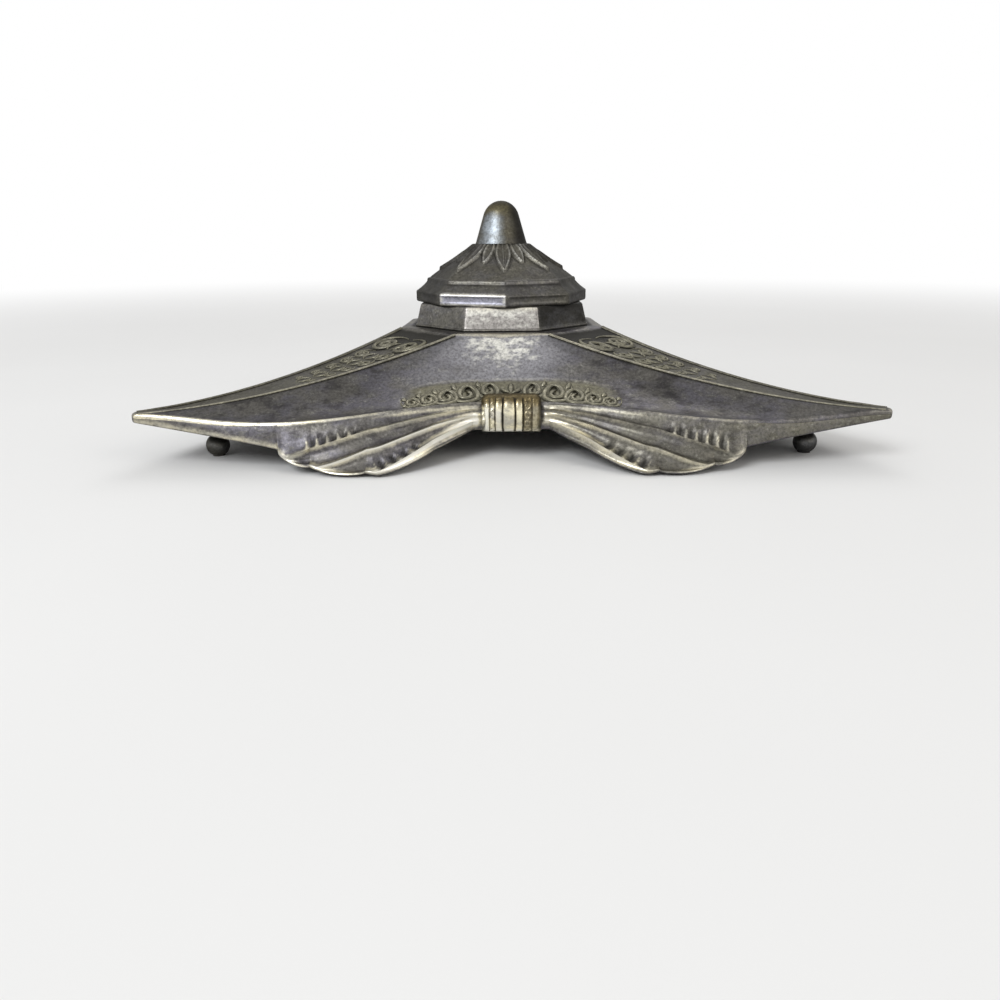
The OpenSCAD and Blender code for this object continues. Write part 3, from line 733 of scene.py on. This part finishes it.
angle, radius = scroll(curl_r, -1.5, 2.2, 6.5)
strip_w = strip_start_w * (1 - curl_u) + strip_end_w * curl_u
near_s = np.clip(curl_s + radius * np.cos(angle) / strip_w, 0.02, 0.98)
near_u = np.clip(curl_u + radius * np.sin(angle) / strip_len, 0.01, 0.99)
leaf_s = np.concatenate([0.5 + s * (0.02 + 0.1 * np.sin(np.pi * bend)) + 0 * curl_u for s in (-1, 1)])
leaf_u = np.concatenate([curl_u + (0.052 * bend - 0.02)] * 2)
places = [(near_s, near_u), (1 - near_s, near_u), (leaf_s, leaf_u)]
curl_w = curl_line * ending * curl_r[:, None]
leaves_w = (0.05 + 0.34 * np.sin(np.pi * bend)) * np.tile(curl_r, 2)[:, None] ** 0.5
line_w = np.tile(np.concatenate([curl_w, curl_w, leaves_w]), (3, 1))
paths = np.concatenate([on_strip(arm, s, u) for arm in range(3) for s, u in places])
points, faces, rise = carry(paths, line_w, 0.8 * line_w, 7, 1.6)
new_piece("arm_scrolls", points, faces, stand_bronze, "stand",
          {"wear_and_highlight": 0.26 * rise, "dirt_and_shade": 0.3 + 0.42 * (rise <= 0.3), "ground": 0.9})

# Neck
# An octagonal bronze neck, soldered by its spigot into the collar, with a small moulding at its foot.
# Its stepped round bore takes the ink pot's flange and the ring of the lid.
def face_angles(per_face):
    """Angles round an octagon in degrees, closer together at its corners: in each face they follow
    22.5 * (1.5 t - 0.5 t^3)."""
    t = np.linspace(-1, 1, per_face, endpoint=False)
    return (45 * np.arange(8)[:, None] + 22.5 * (1.5 * t - 0.5 * t ** 3)[None]).ravel()


def in_face(degrees):
    """Degrees from the middle of the octagon's nearest face."""
    return (degrees + 22.5) % 45 - 22.5


def around_neck(profile, degrees, turn=0.0):
    """Closed loop of (apothem, height, roundness) carried round the neck's axis."""
    apothem, z, roundness = profile.T
    angle = np.radians(turn)
    p = octagon(apothem, degrees[:, None], z, roundness, 150) - [neck_x, 0, 0]
    x = p[..., 0] * np.cos(angle) - p[..., 1] * np.sin(angle)
    y = p[..., 0] * np.sin(angle) + p[..., 1] * np.cos(angle)
    return np.stack([x + neck_x, y, p[..., 2]], -1)


# Each row of the neck: apothem, height, roundness, wear, dirt, and silvery wear with painted highlight
neck_rows = np.array([
    (19.1, 22.0, 0, 0, 0.8, 0), (19.1, 25.3, 0, 0, 0.9, 0), (21.5, 25.42, 0, 0, 0.9, 0),
    (21.85, 25.46, 0, 0.1, 0.6, 0.3), (22.0, 25.58, 0, 0.3, 0.1, 0.6), (22.02, 25.76, 0, 0.4, 0, 0.7),
    (21.92, 25.92, 0, 0.25, 0.25, 0.5), (21.74, 26.0, 0, 0, 0.6, 0.4), (21.64, 26.14, 0, 0, 0.35, 0.75),
    (21.56, 26.6, 0, 0, 0, 0.9), (21.4, 27.4, 0, 0.05, 0, 0.93), (21.15, 28.4, 0, 0.1, 0, 0.96),
    (20.9, 29.4, 0, 0.2, 0, 1.08), (20.7, 30.2, 0, 0.45, 0, 1.2), (20.62, 30.55, 0, 0.6, 0, 1.2),
    (20.5, 30.8, 0, 0.6, 0, 1.1), (20.3, 30.95, 0, 0.5, 0, 0.9), (20.0, 31.0, 0, 0.4, 0, 0.5),
    (18.5, 31.0, 0.6, 0.2, 0.2, 0), (17.7, 31.0, 1, 0.2, 0.3, 0), (17.5, 30.8, 1, 0.2, 0.4, 0),
    (17.5, 26.8, 1, 0, 0.7, 0), (15.6, 26.8, 1, 0, 0.8, 0), (15.6, 22.0, 1, 0, 0.8, 0)])
# Each face's share of painted highlight, with rubbing, and of painted shade, with tarnish: the front face is
# lit bright and the face to its right lies dark
rub_and_highlight_of_faces = np.array([1.0, 0.04, 0.3, 0.3, 0.5, 0.4, 0.4, 0.28])
tarnish_and_shade_of_faces = np.array([0.0, 0.8, 0.45, 0.15, 0.1, 0.15, 0.3, 0.08])
degrees = face_angles(26)
face = np.round(degrees / 45).astype(int) % 8
next_face = (face + np.where(in_face(degrees) > 0, 1, -1)) % 8
lean_on = ease((abs(in_face(degrees)) - 19.2) / 6.6)
face_rub_and_highlight, face_tarnish_and_shade = (between(tone[face], tone[next_face], 0.5 * lean_on)[:, None]
                         for tone in (rub_and_highlight_of_faces, tarnish_and_shade_of_faces))
wear_and_highlight, dirt_and_shade, silvering_and_highlight = neck_rows[:, 3:].T
points = around_neck(neck_rows[:, :3], degrees)
neck_bronze = bronze("neck_bronze", smooth=(0.13, 0.125, 0.12), cool=(0.115, 0.115, 0.135),
                     bright=(0.68, 0.62, 0.46), silvery_highlight=(0.36, 0.34, 0.32))
new_piece("neck_ring_cast", points, [net(*points.shape[:2])], neck_bronze, "stand",
          {"wear_and_highlight": wear_and_highlight * between(0.3, 1.0, face_rub_and_highlight), "ground": 0.3, "silvering_and_highlight": silvering_and_highlight * face_rub_and_highlight,
           "dirt_and_shade": np.maximum(dirt_and_shade, np.clip(silvering_and_highlight, 0, 1) * face_tarnish_and_shade)}, ["neck_ring"])

# Clasps
# A cast brass clasp grips the middle of each side over its upper edge. Its face has three ribs between
# a zigzag band and a chain of rings, with a plain band at either end and fine bars across its top.
clasp_w, clasp_low, clasp_top, clasp_bulge, rib_room = 13.2, 6.2, 14.5, 3.6, 0.55
zigzag_x, zigzag_pitch, chain_x, chain_pitch, arc_len = -4.12, 1.5, 3.5, 1.7, 5.6
ribs = ((-2.72, 0.84, 0.36, 1.2), (-0.55, 1.36, 0.5, 1.02), (1.66, 0.84, 0.34, 1.02))
seams = ((-4.82, 0.12), (2.58, 0.17), (4.5, 0.12))
lip = np.array([(41.6, 14.46), (41.0, 14.3), (40.55, 13.9), (40.42, 13.5), (40.4, 13.12), (41.5, 13.1),
                (42.55, 13.1), (42.55, 9.5)])
clasp_brass = bronze("clasp_brass", smooth=(0.31, 0.265, 0.165), cool=(0.25, 0.22, 0.15),
                     olive=(0.15, 0.115, 0.055), bright=(0.93, 0.86, 0.62), silvery_highlight=(0.8, 0.78, 0.66),
                     gloss=0.33, mottle=1.0)
x = np.linspace(-1, 1, 151) * clasp_w / 2
gx, ga = np.meshgrid(x, np.linspace(-90, 90, 73), indexing="ij")


def shoulder(radius):
    """Fall of a side rounded by a quarter circle: 1 - sqrt(1 - n^2), n from 0 to 1 over the radius."""
    n = np.clip((abs(gx) - clasp_w / 2 + radius) / radius, 0, 1)
    return 1 - np.sqrt(1 - n ** 2)


def and_lip(face_values, lip_values):
    """Values of the clasp's face, and of the lip behind it that grips the stand's edge."""
    return np.concatenate([face_values, np.broadcast_to(lip_values, (len(x), len(lip)))], 1)


along_arc = arc_len * (ga / 90)
full = ease((ga + 84) / 22) * ease((84 - ga) / 30)
lens = 0.62 + 0.38 * np.cos(np.radians(np.minimum(ga + 8, 89))) ** 0.8
relief, dirt_and_shade, rubbed = np.zeros_like(gx), np.zeros_like(gx), np.full_like(gx, 0.6)
for middle, half_w, rise, shine in ribs:
    off = (gx - middle) / (half_w * lens)
    relief += rise * np.sqrt(np.clip(1 - off ** 2, 0, 1)) * full
    dirt_and_shade = np.maximum(dirt_and_shade, hump(abs(off) - 1.06, 0.2) * full)
    rubbed = np.maximum(rubbed, shine * (off ** 2 < 1))
zigzag = 4 * abs((along_arc / zigzag_pitch) % 1 - 0.5) - 1
from_zigzag = gx - zigzag_x - 0.36 * zigzag
in_band = abs(gx - zigzag_x) < 0.72
relief += 0.2 * hump(from_zigzag, 0.32) * full * in_band
dirt_and_shade = np.maximum(dirt_and_shade, 0.55 * hump(abs(from_zigzag) - 0.62, 0.24) * in_band * full)
rubbed = np.maximum(rubbed, 1.05 * in_band)
from_ring = np.hypot(gx - chain_x, along_arc - chain_pitch * np.round(along_arc / chain_pitch))
relief += (0.26 * hump(from_ring - 0.55, 0.24) + 0.1 * hump(from_ring, 0.2)) * full
in_chain = abs(gx - chain_x) < 0.95
ring_dirt = hump(from_ring - 0.22, 0.13) + hump(from_ring - 0.98, 0.22)
dirt_and_shade = np.maximum(dirt_and_shade, 0.6 * ring_dirt * full * in_chain)
rubbed = np.where(in_chain, 0.32, np.where(gx > 4.5, 0.5, np.where(gx < -4.8, 1.4, rubbed)))
for seam, seam_w in seams:
    dirt_and_shade = np.maximum(dirt_and_shade, 0.9 * hump(gx - seam, seam_w) * full)
    relief -= 0.2 * hump(gx - seam, 0.18) * full
for bar in (45, 57, 69):
    relief += 0.1 * hump((ga - bar) / 180 * np.pi * 5, 0.2) * (abs(gx) > 1.4)
top_round = 1.5 * shoulder(1.9) * ease((ga - 5) / 45)
pillow = np.cos(np.radians(ga)) ** 0.7 * (1 - 0.92 * shoulder(1.3)) * (1 - 0.06 * (gx / clasp_w * 2) ** 2)
depth = edge_mid + 0.05 + (clasp_bulge - rib_room) * pillow + relief * np.cos(np.radians(ga))
height = ((clasp_low + clasp_top) / 2 + (clasp_top - clasp_low) / 2 * np.sin(np.radians(ga))
          + 0.55 * relief * np.sin(np.radians(ga)) * (ga > 0) - top_round)
lip_fall = np.minimum(np.array([1, 0.9, 0.7, 0.4, 0, 0, 0, 0]) * top_round[:, -1:],
                      np.maximum(lip[:, 1] - 13.11, 0))
depth = and_lip(depth, lip[:, 0])
height = and_lip(np.minimum(height, 14.9), lip[:, 1] - lip_fall)
# Darker and browner towards the top and at the right end, and lighter at the lowest part
upper = ease((ga - 12) / 40)
wear_and_highlight = (rubbed * (1 - 0.75 * dirt_and_shade) * (1 - 0.9 * upper) + 0.55 * ease((-40 - ga) / 22) * (1 - dirt_and_shade)
        + 0.3 * relief * upper)
dirt_and_shade = np.maximum(np.maximum(dirt_and_shade, 0.42 * upper), 0.75 * ease((gx - 5.5) / 0.8))
clasp_marks = {"wear_and_highlight": and_lip(wear_and_highlight, 0.2), "dirt_and_shade": and_lip(dirt_and_shade, 0.4), "ground": and_lip(1.2 * upper, 0.8)}
columns, around = depth.shape
caps = [np.arange(around)[None, ::-1], np.arange(around)[None] + (columns - 1) * around]
for k, name in enumerate(side_names):
    new_piece("clasp_cast_" + name, in_place(k, x[:, None], depth, height),
              [net(columns, around, round_columns=False)] + caps, clasp_brass, "stand",
              clasp_marks, ["clasp_" + name], crease=50)

# Feet
# Three small cast balls on stems under the arms, left dark.
def dress(node, finish):
    """Give a CAD node its finish."""
    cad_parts[node].data.materials.clear()
    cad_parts[node].data.materials.append(finish)


foot_bronze = bronze("foot_bronze", smooth=(0.105, 0.1, 0.085), cool=(0.1, 0.1, 0.1), mottle=0.7)
for name in ("foot_right", "foot_rear", "foot_left"):
    dress(name, foot_bronze)

# Ink pot
# A moulded glass pot that hangs by its flange in the neck, faintly grey-green and a little wavy.
pot_glass, wire = new_finish("pot_glass")
streaks = wire.clouds(140, 2)
wire.surface({
    "Base Color": wire.tint(streaks, (0.8, 0.88, 0.86), (0.9, 0.95, 0.94)),
    "Roughness": 0.03 + 0.05 * streaks, "Transmission Weight": 1.0, "IOR": 1.5,
    "Normal": wire.bump(0.2, 0.0002, streaks)})
dress("ink_pot", pot_glass)

# Ring of the lid
# A brass ring turned on a lathe, with fine lines round it. It keeps the lid in the middle of the neck.
lathe_waves = 30000
ring_brass, wire = new_finish("ring_brass")
up = wire.add("ShaderNodeSeparateXYZ", None, {"Vector": wire.place()}, out="Z")
lathe = wire.maths("SINE", up * lathe_waves) * 0.5 + 0.5
clouds = wire.clouds(400, 4)
wire.surface({
    "Base Color": wire.tint(clouds.step(0.4, 0.7), (0.5, 0.39, 0.17), (0.24, 0.18, 0.08)),
    "Metallic": 1.0, "Roughness": 0.28 + 0.2 * clouds, "Normal": wire.bump(0.3, 0.00005, lathe)})
dress("lid_ring", ring_brass)

# Lid
# A hollow octagonal casting with an upright rim of sunk panels, a sloped bevel and a small step.
# Its straight roof rises to the knob and carries eight long pointed leaves with small ones between.
lid_turn, roof_foot_r, roof_low, roof_high, knob_foot_r, stile = -20.0, 17.3, 37.0, 45.1, 6.6, 2.4
# Each row of the rim: apothem, height, roundness, wear with painted highlight, dirt and the share of a
# panel's hollow
rim = [(17.3, 31.0, 1, 0, 0.8, 0), (18.2, 31.0, 0.4, 0, 0.7, 0), (20.1, 31.0, 0, 0.3, 0.3, 0),
       (20.5, 31.06, 0, 0.7, 0, 0), (20.68, 31.25, 0, 0.95, 0, 0), (20.72, 31.5, 0, 0.75, 0, 0),
       (20.72, 31.75, 0, 0.4, 0, 0), (20.66, 31.9, 0, 0.15, 0.1, 0.5), (20.6, 32.1, 0, 0.05, 0.15, 1),
       (20.58, 32.7, 0, 0.05, 0.15, 1), (20.6, 33.0, 0, 0.05, 0.15, 1), (20.66, 33.2, 0, 0.1, 0.1, 0.5),
       (20.72, 33.35, 0, 0.4, 0, 0), (20.7, 33.6, 0, 1, 0, 0), (20.55, 33.78, 0, 1.1, 0, 0),
       (20.2, 34.02, 0, 0.5, 0.05, 0), (19.4, 34.65, 0, 0.05, 0.25, 0), (18.7, 35.3, 0, 0.05, 0.4, 0),
       (18.2, 35.85, 0, 0.05, 0.7, 0), (18.04, 36.05, 0, 0.12, 0.5, 0), (18.0, 36.4, 0, 0.4, 0.05, 0),
       (17.9, 36.75, 0, 0.3, 0, 0), (17.65, 36.95, 0, 0.05, 0.1, 0)]
inside = [(2.05, 45.1, 1), (2.05, 43.1, 1), (4.0, 43.0, 1), (6.0, 41.9, 1), (9.0, 39.6, 1), (12.0, 37.8, 1),
          (14.5, 36.3, 1), (15.4, 34.9, 1), (15.4, 32.8, 1), (17.26, 32.8, 1), (17.26, 31.1, 1)]
rise_t = np.linspace(0, 1, 64)
roof_r = between(roof_foot_r, knob_foot_r, rise_t ** (1 / 0.95))
roof_z = between(roof_low, roof_high, rise_t)
roof = np.stack([roof_r, roof_z, ease((rise_t - 0.08) / 0.7)], 1)


def turn_from(degrees, middle):
    """Degrees between two directions round the axis, from 0 to 180."""
    turned = (degrees - middle) % 360
    return np.minimum(turned, 360 - turned)


profile = np.array(rim + [(*row, 0.04, 0, 0) for row in roof] + [(*row, 0, 0.52, 0) for row in inside])
on_roof, outside = slice(len(rim), len(rim) + len(roof)), slice(0, len(rim) + len(roof))
degrees = face_angles(52)
points = around_neck(profile[:, :3], degrees, lid_turn)
apothem, z, _, wear_and_highlight, dirt_and_shade, panel = profile.T
off_middle = abs(in_face(degrees))[:, None]
from_front = turn_from(degrees, -lid_turn)[:, None]
# The face turned to the front gets full wear and painted highlight, its panel silvery; the rim's other faces
# get painted shade
rubbed_and_lit_face = ease((23.4 - turn_from(degrees, 0)) / 2.0)[:, None]
upright = (apothem > 20) & (z > 31) & (z < 34)
stiles = hump(off_middle - 22.5, stile)
wear_and_highlight = wear_and_highlight * between(0.26, 1.0, rubbed_and_lit_face) * (1 - 0.5 * (z > 35) * ease((off_middle - 9) / 10))
wear_and_highlight = wear_and_highlight + panel * 0.95 * stiles * rubbed_and_lit_face
rim_shade = 0.26 * (upright + 0.6 * (np.arange(len(profile)) < len(rim))) * (1 - rubbed_and_lit_face)
dirt_and_shade = np.maximum(dirt_and_shade, rim_shade)
radial = points - points.mean(0)[None]
radial[..., 2] = 0
radial = unit(radial)
points = points + radial * (panel * 0.14 * stiles)[..., None]
leaf_rise, leaf_worn, leaf_dirt = (np.zeros((len(degrees), len(roof))) for _ in range(3))
for offset, tip_r, widest, height in ((22.5, 15.2, 1.95, 0.6), (0.0, 12.8, 1.25, 0.45)):
    off_vein = np.radians(in_face(degrees[:, None] - offset)) * roof_r
    way = np.clip((tip_r - roof_r) / (tip_r - knob_foot_r), 0, 1)
    half_w = widest * np.sin(np.pi * 0.8 * way) + 0.02
    live = ease((tip_r - roof_r) / 0.6)
    body = ease((half_w + 0.22 - abs(off_vein)) / 0.4) * live
    rims = hump(abs(off_vein) - half_w * 0.8, 0.44) * live
    vein = hump(off_vein, 0.24) * live * ease((way - 0.1) / 0.2) * (offset > 0)
    gap = hump(abs(off_vein) - half_w - 0.5, 0.42) * live * (1 - body)
    this = height * (body * 0.42 + rims * 0.75 + vein * 0.5)
    leaf_worn = np.maximum(leaf_worn * (1 - body), 0.55 * rims + 0.4 * vein)
    leaf_dirt = np.maximum(leaf_dirt * (1 - body), 0.62 * gap) + 0.22 * body * (1 - rims) * (1 - vein)
    leaf_rise = np.maximum(leaf_rise * (1 - 0.5 * body), this) - 0.2 * gap
leaf_rise *= ease((roof_r - knob_foot_r + 0.3) / 1.0)
roof_step = unit(np.stack([np.gradient(roof_r), np.gradient(roof_z)], 1))
points[:, on_roof] += radial[:, on_roof] * (leaf_rise * roof_step[:, 1])[..., None]
points[:, on_roof, 2] -= leaf_rise * roof_step[:, 0]
# Leaf edges lighter on the faces towards the front; the roof's right and the faces turned away darker:
# painted highlight and painted shade
wear_and_highlight[:, on_roof] = np.maximum(wear_and_highlight[:, on_roof], leaf_worn * (1 - 0.65 * ease((from_front - 42) / 25)))
to_right = (degrees[:, None] + (180 + lid_turn)) % 360 - 180 - 62
roof_dirt_and_shade = np.maximum(leaf_dirt + 0.25 * hump(roof_r - 17.0, 0.8), 0.55 * hump(to_right, 32))
dirt_and_shade[:, on_roof] = np.maximum(dirt_and_shade[:, on_roof], roof_dirt_and_shade)
back_shade = between(0.2, 0.68, ease((from_front - 40) / 12) - 0.5 * ease((from_front - 95) / 30))
dirt_and_shade[:, outside] = np.maximum(dirt_and_shade[:, outside], back_shade * (rubbed_and_lit_face < 0.5))
ground = np.full(points.shape[:2], 0.35)
ground[:, on_roof] = 0.5
lid_bronze = bronze("lid_bronze", smooth=(0.098, 0.094, 0.084), cool=(0.1, 0.098, 0.108),
                    olive=(0.13, 0.12, 0.085), bright=(0.66, 0.65, 0.61), silvery_highlight=(0.34, 0.34, 0.4),
                    mottle=0.8)
new_piece("lid_cast", points, [net(*points.shape[:2])], lid_bronze, "lid",
          {"wear_and_highlight": wear_and_highlight, "dirt_and_shade": dirt_and_shade, "ground": ground, "silvering_and_highlight": upright * 0.76 * rubbed_and_lit_face},
          ["lid_casting"])

# Knob
# A smooth bullet-shaped knob, whose stud passes through the lid and is riveted over inside.
knob_foot, cone_top_r, cone_top, head_r, head_z = 45.2, 4.475, 52.19, 4.68, 50.82
stud = [(0.6, 42.3), (2.7, 42.3), (3.0, 42.6), (3.0, 43.0), (2.0, 43.1), (2.0, 45.0), (6.1, 45.05),
        (6.65, knob_foot)]
knob_t = np.linspace(0, 1, 26)[1:]
head = np.radians(np.linspace(17, 88, 16))[1:]
cone = np.stack([between(knob_foot_r, cone_top_r, knob_t), between(knob_foot, cone_top, knob_t)], 1)
knob = np.concatenate([stud, cone, np.stack([head_r * np.cos(head), head_z + head_r * np.sin(head)], 1)])
points = octagon(knob[:, 0], np.arange(128)[:, None] * 360 / 128, knob[:, 1], 1.0)
around, rows_n = points.shape[:2]
ring = np.arange(around)
next_ring = (ring + 1) % around
low_pole, high_pole, last = 0 * ring + around * rows_n, 0 * ring + around * rows_n + 1, rows_n - 1
low_fan = np.stack([low_pole, next_ring * rows_n, ring * rows_n], 1)
high_fan = np.stack([ring * rows_n + last, next_ring * rows_n + last, high_pole], 1)
points = np.concatenate([points.reshape(-1, 3), [(neck_x, 0, stud[0][1]), (neck_x, 0, head_z + head_r)]])
z = points[:, 2]
turned_to = np.degrees(np.arctan2(points[:, 0] - neck_x, -points[:, 1]))
# Painted highlight on the knob's front left, painted shade on its sides and top, most on the right, and
# darker at its foot
lit_side = hump(turned_to + 30, 42) * ease((54.8 - z) / 4)
shade = np.maximum(1.05 * hump(turned_to - 72, 54), 0.68 * ease((z - 52.8) / 2.2))
knob_bronze = bronze("knob_bronze", smooth=(0.088, 0.083, 0.07), cool=(0.09, 0.088, 0.09),
                     olive=(0.125, 0.108, 0.054), silvery_highlight=(0.36, 0.4, 0.44), gloss=0.44, mottle=0.5)
shade = shade + 0.25 * ease((abs(turned_to) - 55) / 50)
new_piece("knob_turned", points, [net(around, rows_n, round_rows=False), low_fan, high_fan], knob_bronze,
          "lid", {"silvering_and_highlight": 0.66 * lit_side, "ground": 0.35 + 0.6 * ease((z - 51) / 3),
                                 "dirt_and_shade": np.maximum(0.42 * hump(z - knob_foot, 0.6), shade)}, ["lid_knob"])

size = {"cad": [list(corner) for corner in cad_box], "visual": [list(corner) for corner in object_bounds()]}
